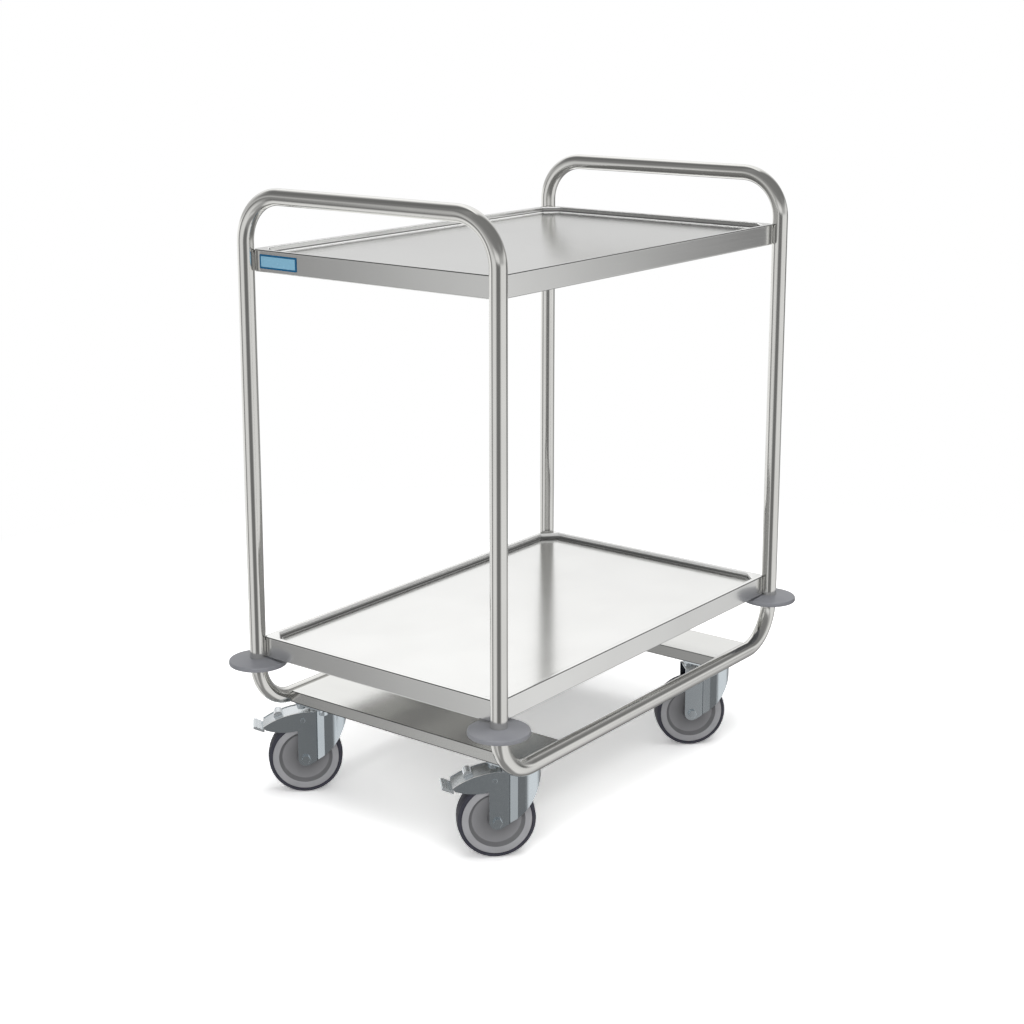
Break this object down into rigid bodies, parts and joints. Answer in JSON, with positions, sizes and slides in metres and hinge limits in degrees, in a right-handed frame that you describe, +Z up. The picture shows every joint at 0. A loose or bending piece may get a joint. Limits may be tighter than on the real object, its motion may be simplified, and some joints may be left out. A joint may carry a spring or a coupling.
{
  "type": "serving cart",
  "caption": "Serving cart with tray shelves on a bent steel tube frame, push handles, bumper discs and swivel casters, some with foot brakes.",
  "frame": {"origin": "on the floor, under the middle of the cart", "axes": "+Z up; +X along the cart's length towards the end without brakes; +Y to the left seen from the braked end"},
  "size_m": [0.896, 0.6058, 1.0289],
  "materials": {
    "stainless": "brushed",
    "zinc": "zinc plated, satin",
    "bumper_grey": "satin",
    "wheel_grey": "satin",
    "tread": "matt",
    "label_blue": "gloss",
    "bearing_plastic": "plain"
  },
  "bodies": {
    "cart": {"frame_front": "stainless", "frame_rear": "stainless", "top_shelf": "stainless", "lower_shelf": "stainless", "top_stiffener": "stainless", "lower_stiffener": "stainless", "shelf_welds": "stainless", "channel_front": "stainless", "channel_rear": "stainless", "label_plate": "label_blue", "caster_bolts": "zinc", "caster_washers": "zinc", "caster_nuts": "zinc", "bumper_front_left": "bumper_grey", "bumper_front_right": "bumper_grey", "bumper_rear_left": "bumper_grey", "bumper_rear_right": "bumper_grey", "caster_plate_front_left": "zinc", "caster_plate_front_right": "zinc", "caster_plate_rear_left": "zinc", "caster_plate_rear_right": "zinc", "kingpin_front_left": "zinc", "kingpin_front_right": "zinc", "kingpin_rear_left": "zinc", "kingpin_rear_right": "zinc"},
    "swivel_front_left": {"fork_front_left": "zinc", "swivel_balls_front_left": "zinc", "axle_front_left": "zinc", "sleeve_front_left": "zinc", "pedal_pin_front_left": "zinc"},
    "wheel_front_left": {"rim_front_left": "wheel_grey", "tyre_front_left": "tread", "bush_front_left": "bearing_plastic"},
    "swivel_front_right": {"fork_front_right": "zinc", "swivel_balls_front_right": "zinc", "axle_front_right": "zinc", "sleeve_front_right": "zinc", "pedal_pin_front_right": "zinc"},
    "wheel_front_right": {"rim_front_right": "wheel_grey", "tyre_front_right": "tread", "bush_front_right": "bearing_plastic"},
    "swivel_rear_left": {"fork_rear_left": "zinc", "swivel_balls_rear_left": "zinc", "axle_rear_left": "zinc", "sleeve_rear_left": "zinc"},
    "wheel_rear_left": {"rim_rear_left": "wheel_grey", "tyre_rear_left": "tread", "bush_rear_left": "bearing_plastic"},
    "swivel_rear_right": {"fork_rear_right": "zinc", "swivel_balls_rear_right": "zinc", "axle_rear_right": "zinc", "sleeve_rear_right": "zinc"},
    "wheel_rear_right": {"rim_rear_right": "wheel_grey", "tyre_rear_right": "tread", "bush_rear_right": "bearing_plastic"},
    "pedal_front_left": {"pedal_front_left": "zinc", "brake_shoe_front_left": "tread"},
    "pedal_front_right": {"pedal_front_right": "zinc", "brake_shoe_front_right": "tread"}
  },
  "joints": [
    {"name": "swivel_turn_front_left", "type": "hinge", "parent": "cart", "child": "swivel_front_left", "pos_m": [-0.284, 0.20401, 0.15], "axis": [0, 0, 1], "continuous": true},
    {"name": "wheel_roll_front_left", "type": "hinge", "parent": "swivel_front_left", "child": "wheel_front_left", "pos_m": [-0.3125, 0.23251, 0.0625], "axis": [0.7071, 0.7071, 0], "continuous": true},
    {"name": "pedal_press_front_left", "type": "hinge", "parent": "swivel_front_left", "child": "pedal_front_left", "pos_m": [-0.31532, 0.23533, 0.131], "axis": [-0.7071, -0.7071, 0], "range_deg": [0, 10]},
    {"name": "swivel_turn_front_right", "type": "hinge", "parent": "cart", "child": "swivel_front_right", "pos_m": [-0.284, -0.20401, 0.15], "axis": [0, 0, 1], "continuous": true},
    {"name": "wheel_roll_front_right", "type": "hinge", "parent": "swivel_front_right", "child": "wheel_front_right", "pos_m": [-0.3125, -0.17551, 0.0625], "axis": [0.7071, 0.7071, 0], "continuous": true},
    {"name": "pedal_press_front_right", "type": "hinge", "parent": "swivel_front_right", "child": "pedal_front_right", "pos_m": [-0.31532, -0.17268, 0.131], "axis": [-0.7071, -0.7071, 0], "range_deg": [0, 10]},
    {"name": "swivel_turn_rear_left", "type": "hinge", "parent": "cart", "child": "swivel_rear_left", "pos_m": [0.284, 0.20401, 0.15], "axis": [0, 0, 1], "continuous": true},
    {"name": "wheel_roll_rear_left", "type": "hinge", "parent": "swivel_rear_left", "child": "wheel_rear_left", "pos_m": [0.2555, 0.23251, 0.0625], "axis": [0.7071, 0.7071, 0], "continuous": true},
    {"name": "swivel_turn_rear_right", "type": "hinge", "parent": "cart", "child": "swivel_rear_right", "pos_m": [0.284, -0.20401, 0.15], "axis": [0, 0, 1], "continuous": true},
    {"name": "wheel_roll_rear_right", "type": "hinge", "parent": "swivel_rear_right", "child": "wheel_rear_right", "pos_m": [0.2555, -0.17551, 0.0625], "axis": [0.7071, 0.7071, 0], "continuous": true}
  ]
}
